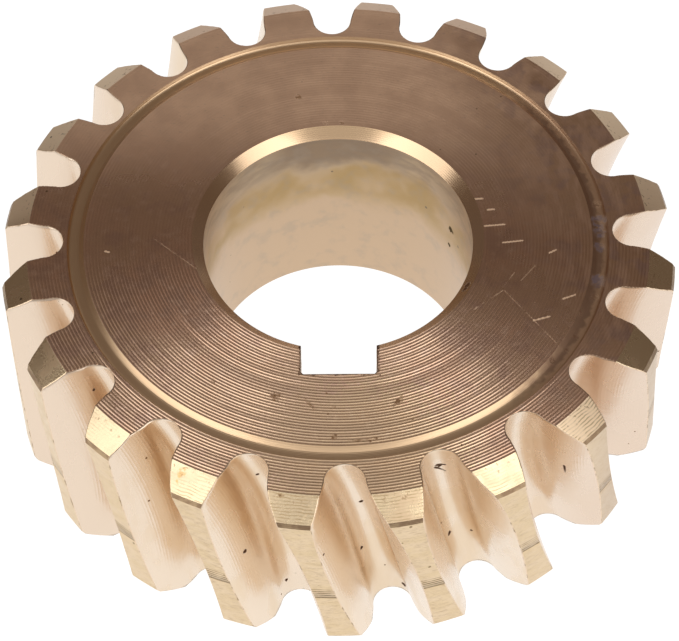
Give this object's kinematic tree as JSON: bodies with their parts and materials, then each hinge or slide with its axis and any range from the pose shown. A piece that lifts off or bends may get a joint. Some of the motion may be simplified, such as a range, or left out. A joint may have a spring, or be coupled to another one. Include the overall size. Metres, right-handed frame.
{
  "type": "worm wheel",
  "caption": "Bronze worm wheel with throated left-hand teeth, a chamfered keyed bore and a turned groove in its upper face.",
  "frame": {"origin": "on the bore axis, at the lower face", "axes": "+Z along the bore towards the grooved face, the keyway towards -Y"},
  "size_m": [0.055, 0.055, 0.0186],
  "materials": {
    "bronze": "turned and hobbed bare bronze: fine turning lines on faces and chamfers, smooth flanks, a little dirt in the groove"
  },
  "bodies": {
    "root": {"worm_wheel": "bronze"}
  },
  "joints": []
}
